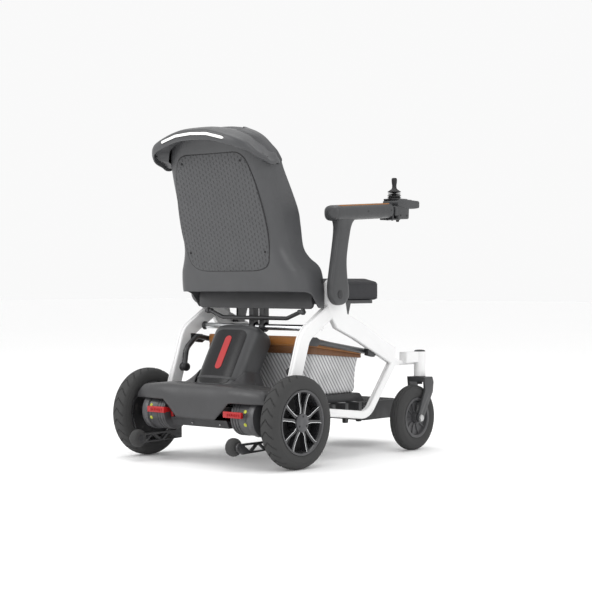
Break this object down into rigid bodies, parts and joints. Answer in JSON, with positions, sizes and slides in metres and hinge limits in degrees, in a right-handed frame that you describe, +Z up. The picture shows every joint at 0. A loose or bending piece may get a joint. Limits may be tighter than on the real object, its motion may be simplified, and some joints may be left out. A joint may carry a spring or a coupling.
{
  "type": "power wheelchair",
  "caption": "Rear-drive power wheelchair with hooded push handle, lift-out battery, folding back, swing-up armrests, joystick and under-seat basket.",
  "frame": {"origin": "middle of the overall box, on the ground", "axes": "the chair faces -Y, its left side is +X, +Z is up"},
  "size_m": [0.635, 0.903, 0.96],
  "materials": {
    "frame_paint": "satin",
    "satin_tube": "brushed",
    "dark_tube": "satin",
    "caster_mount_metal": "satin",
    "fork_paint": "satin",
    "bolt_steel": "plain",
    "caster_rim_plastic": "matt",
    "caster_rubber": "worn",
    "wheel_rim_alloy": "black with machined edges",
    "tyre_rubber": "worn",
    "axle_steel": "plain",
    "motor_housing": "matt",
    "lever_red": "satin",
    "chassis_paint": "matt",
    "roller_rubber": "matt",
    "battery_plastic": "gloss face, satin body",
    "latch_plastic": "matt",
    "cover_plastic": "fine grain",
    "pan_plastic": "fine grain",
    "basket_mesh": "ribbed mesh",
    "band_leather": "satin",
    "base_plastic": "fine grain",
    "rail_paint": "satin",
    "bracket_plastic": "matt",
    "tray_plastic": "fine grain",
    "cushion_cover": "woven",
    "bail_paint": "satin",
    "foot_plastic": "fine grain",
    "arm_leather": "soft",
    "post_plastic": "fine grain",
    "controller_plastic": "fine grain",
    "boot_rubber": "matt",
    "gimbal_plastic": "plain",
    "stick_plastic": "soft touch",
    "button_plastic": "satin",
    "shell_plastic": "satin gloss",
    "panel_plastic": "fine grain",
    "pad_cover": "woven",
    "strip_plastic": "gloss"
  },
  "bodies": {
    "frame": {"right_side_beam": "frame_paint", "left_side_beam": "frame_paint", "right_rear_leg": "frame_paint", "left_rear_leg": "frame_paint", "right_front_leg": "frame_paint", "left_front_leg": "frame_paint", "seat_crossbeam": "satin_tube", "front_crossbar": "dark_tube", "right_caster_mount": "caster_mount_metal", "left_caster_mount": "caster_mount_metal", "right_motor": "motor_housing", "left_motor": "motor_housing", "drive_chassis": "chassis_paint", "anti_tip_arms": "chassis_paint", "drive_cover": "cover_plastic", "drive_pan": "pan_plastic", "basket_bag": "basket_mesh", "basket_band": "band_leather", "basket_base": "base_plastic", "basket_rails": "rail_paint", "basket_brackets": "bracket_plastic", "seat_tray": "tray_plastic", "seat_cushion": "cushion_cover", "footplate_pin": "bolt_steel"},
    "backrest": {"back_shell": "shell_plastic", "back_panel": "panel_plastic", "back_pad": "pad_cover", "handle_light_strip": "strip_plastic"},
    "release_bail": {"release_bail": "bail_paint"},
    "footplate": {"footplate": "foot_plastic"},
    "battery": {"battery_case": "battery_plastic"},
    "battery_latch": {"battery_latch": "latch_plastic"},
    "right_armrest": {"right_arm_pad": "arm_leather", "right_arm_post": "post_plastic", "controller_housing": "controller_plastic", "joystick_boot": "boot_rubber"},
    "left_armrest": {"left_arm_pad": "arm_leather", "left_arm_post": "post_plastic"},
    "joystick_gimbal": {"joystick_gimbal": "gimbal_plastic"},
    "joystick": {"joystick_stick": "stick_plastic"},
    "power_button": {"power_button": "button_plastic"},
    "horn_button": {"horn_button": "button_plastic"},
    "right_drive_wheel": {"right_wheel_rim": "wheel_rim_alloy", "right_wheel_tyre": "tyre_rubber", "right_wheel_axle": "axle_steel"},
    "right_caster_fork": {"right_caster_fork": "fork_paint", "right_caster_axle": "bolt_steel"},
    "right_caster_wheel": {"right_caster_rim": "caster_rim_plastic", "right_caster_tyre": "caster_rubber"},
    "right_anti_tip_roller": {"right_anti_tip_roller": "roller_rubber"},
    "right_release_lever": {"right_release_lever": "lever_red"},
    "left_drive_wheel": {"left_wheel_rim": "wheel_rim_alloy", "left_wheel_tyre": "tyre_rubber", "left_wheel_axle": "axle_steel"},
    "left_caster_fork": {"left_caster_fork": "fork_paint", "left_caster_axle": "bolt_steel"},
    "left_caster_wheel": {"left_caster_rim": "caster_rim_plastic", "left_caster_tyre": "caster_rubber"},
    "left_anti_tip_roller": {"left_anti_tip_roller": "roller_rubber"},
    "left_release_lever": {"left_release_lever": "lever_red"}
  },
  "joints": [
    {"name": "right_drive_wheel_spin", "type": "hinge", "parent": "frame", "child": "right_drive_wheel", "pos_m": [-0.29, 0.2835, 0.13], "axis": [1, 0, 0], "continuous": true},
    {"name": "right_caster_swivel", "type": "hinge", "parent": "frame", "child": "right_caster_fork", "pos_m": [-0.25, -0.3575, 0.226], "axis": [0, 0, 1], "continuous": true},
    {"name": "right_caster_spin", "type": "hinge", "parent": "right_caster_fork", "child": "right_caster_wheel", "pos_m": [-0.25, -0.3185, 0.1], "axis": [1, 0, 0], "continuous": true},
    {"name": "right_roller_spin", "type": "hinge", "parent": "frame", "child": "right_anti_tip_roller", "pos_m": [-0.187, 0.426, 0.066], "axis": [1, 0, 0], "continuous": true},
    {"name": "right_armrest_hinge", "type": "hinge", "parent": "frame", "child": "right_armrest", "pos_m": [-0.27, 0.0685, 0.484], "axis": [-1, 0, 0], "range_deg": [0, 90]},
    {"name": "right_release_lever_hinge", "type": "hinge", "parent": "frame", "child": "right_release_lever", "pos_m": [-0.121, 0.3255, 0.141], "axis": [-1, 0, 0], "range_deg": [0, 35]},
    {"name": "left_drive_wheel_spin", "type": "hinge", "parent": "frame", "child": "left_drive_wheel", "pos_m": [0.29, 0.2835, 0.13], "axis": [1, 0, 0], "continuous": true},
    {"name": "left_caster_swivel", "type": "hinge", "parent": "frame", "child": "left_caster_fork", "pos_m": [0.25, -0.3575, 0.226], "axis": [0, 0, 1], "continuous": true},
    {"name": "left_caster_spin", "type": "hinge", "parent": "left_caster_fork", "child": "left_caster_wheel", "pos_m": [0.25, -0.3185, 0.1], "axis": [1, 0, 0], "continuous": true},
    {"name": "left_roller_spin", "type": "hinge", "parent": "frame", "child": "left_anti_tip_roller", "pos_m": [0.187, 0.426, 0.066], "axis": [1, 0, 0], "continuous": true},
    {"name": "left_armrest_hinge", "type": "hinge", "parent": "frame", "child": "left_armrest", "pos_m": [0.27, 0.0685, 0.484], "axis": [-1, 0, 0], "range_deg": [0, 90]},
    {"name": "left_release_lever_hinge", "type": "hinge", "parent": "frame", "child": "left_release_lever", "pos_m": [0.121, 0.3255, 0.141], "axis": [-1, 0, 0], "range_deg": [0, 35]},
    {"name": "backrest_hinge", "type": "hinge", "parent": "frame", "child": "backrest", "pos_m": [0, 0.0485, 0.485], "axis": [1, 0, 0], "range_deg": [0, 95]},
    {"name": "release_bail_hinge", "type": "hinge", "parent": "frame", "child": "release_bail", "pos_m": [0, 0.1305, 0.43], "axis": [1, 0, 0], "range_deg": [0, 35], "stiffness_Nm_per_rad": 0.5},
    {"name": "footplate_hinge", "type": "hinge", "parent": "frame", "child": "footplate", "pos_m": [0, -0.2465, 0.135], "axis": [-1, 0, 0], "range_deg": [0, 90]},
    {"name": "battery_slide", "type": "slide", "parent": "frame", "child": "battery", "axis": [0, -0.5, 0.866], "range_m": [0, 0.03]},
    {"name": "battery_latch_slide", "type": "slide", "parent": "battery", "child": "battery_latch", "axis": [1, 0, 0], "range_m": [0, 0.003], "stiffness_N_per_m": 400},
    {"name": "joystick_pitch", "type": "hinge", "parent": "right_armrest", "child": "joystick_gimbal", "pos_m": [-0.27, -0.1975, 0.759], "axis": [1, 0, 0], "range_deg": [-15, 15], "stiffness_Nm_per_rad": 0.15},
    {"name": "joystick_roll", "type": "hinge", "parent": "joystick_gimbal", "child": "joystick", "pos_m": [-0.27, -0.1975, 0.759], "axis": [0, 1, 0], "range_deg": [-15, 15], "stiffness_Nm_per_rad": 0.15},
    {"name": "power_button_press", "type": "slide", "parent": "right_armrest", "child": "power_button", "axis": [0, 0, -1], "range_m": [0, 0.0012], "stiffness_N_per_m": 500},
    {"name": "horn_button_press", "type": "slide", "parent": "right_armrest", "child": "horn_button", "axis": [0, 0, -1], "range_m": [0, 0.0012], "stiffness_N_per_m": 500}
  ]
}
